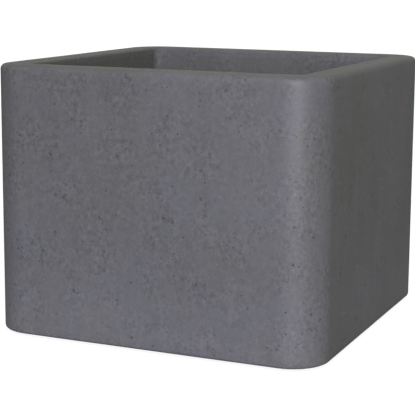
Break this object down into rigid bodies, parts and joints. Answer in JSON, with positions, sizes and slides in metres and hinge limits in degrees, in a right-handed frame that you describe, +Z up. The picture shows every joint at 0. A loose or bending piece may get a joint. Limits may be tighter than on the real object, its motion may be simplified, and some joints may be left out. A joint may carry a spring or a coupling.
{
  "type": "planter box",
  "caption": "Square precast-concrete street planter with rounded corners and rim, cast-in lifting sockets, floor drains, hidden steel bars and rubber pads.",
  "frame": {"origin": "middle of the base, on the ground that the rubber pads stand on", "axes": "+Z up through the open top, front wall facing -Y, right-hand wall facing +X"},
  "size_m": [0.9, 0.9, 0.7],
  "materials": {
    "concrete": "matte",
    "rubber": "matte",
    "pipe_plastic": "satin",
    "strainer_plastic": "satin",
    "spacer_plastic": "satin",
    "cap_plastic": "satin",
    "zinc_steel": "satin",
    "bar_steel": "matte"
  },
  "bodies": {
    "root": {"planter_shell": "concrete", "base_pad_front_left": "rubber", "base_pad_front_right": "rubber", "base_pad_back_left": "rubber", "base_pad_back_right": "rubber", "drain_sleeve_front_left": "pipe_plastic", "drain_sleeve_front_right": "pipe_plastic", "drain_sleeve_back_left": "pipe_plastic", "drain_sleeve_back_right": "pipe_plastic", "drain_strainer_front_left": "strainer_plastic", "drain_strainer_front_right": "strainer_plastic", "drain_strainer_back_left": "strainer_plastic", "drain_strainer_back_right": "strainer_plastic", "lifting_socket_front": "zinc_steel", "lifting_socket_right": "zinc_steel", "lifting_socket_back": "zinc_steel", "lifting_socket_left": "zinc_steel", "socket_cross_bar_front": "zinc_steel", "socket_cross_bar_right": "zinc_steel", "socket_cross_bar_back": "zinc_steel", "socket_cross_bar_left": "zinc_steel", "socket_cap_front": "cap_plastic", "socket_cap_right": "cap_plastic", "socket_cap_back": "cap_plastic", "socket_cap_left": "cap_plastic", "bar_spacer_front_left": "spacer_plastic", "bar_spacer_front_right": "spacer_plastic", "bar_spacer_back_left": "spacer_plastic", "bar_spacer_back_right": "spacer_plastic", "hoop_bar_1": "bar_steel", "hoop_bar_2": "bar_steel", "hoop_bar_3": "bar_steel", "hoop_bar_4": "bar_steel", "floor_bar_x_1": "bar_steel", "floor_bar_x_2": "bar_steel", "floor_bar_x_3": "bar_steel", "floor_bar_x_4": "bar_steel", "floor_bar_y_1": "bar_steel", "floor_bar_y_2": "bar_steel", "floor_bar_y_3": "bar_steel", "floor_bar_y_4": "bar_steel"}
  },
  "joints": []
}
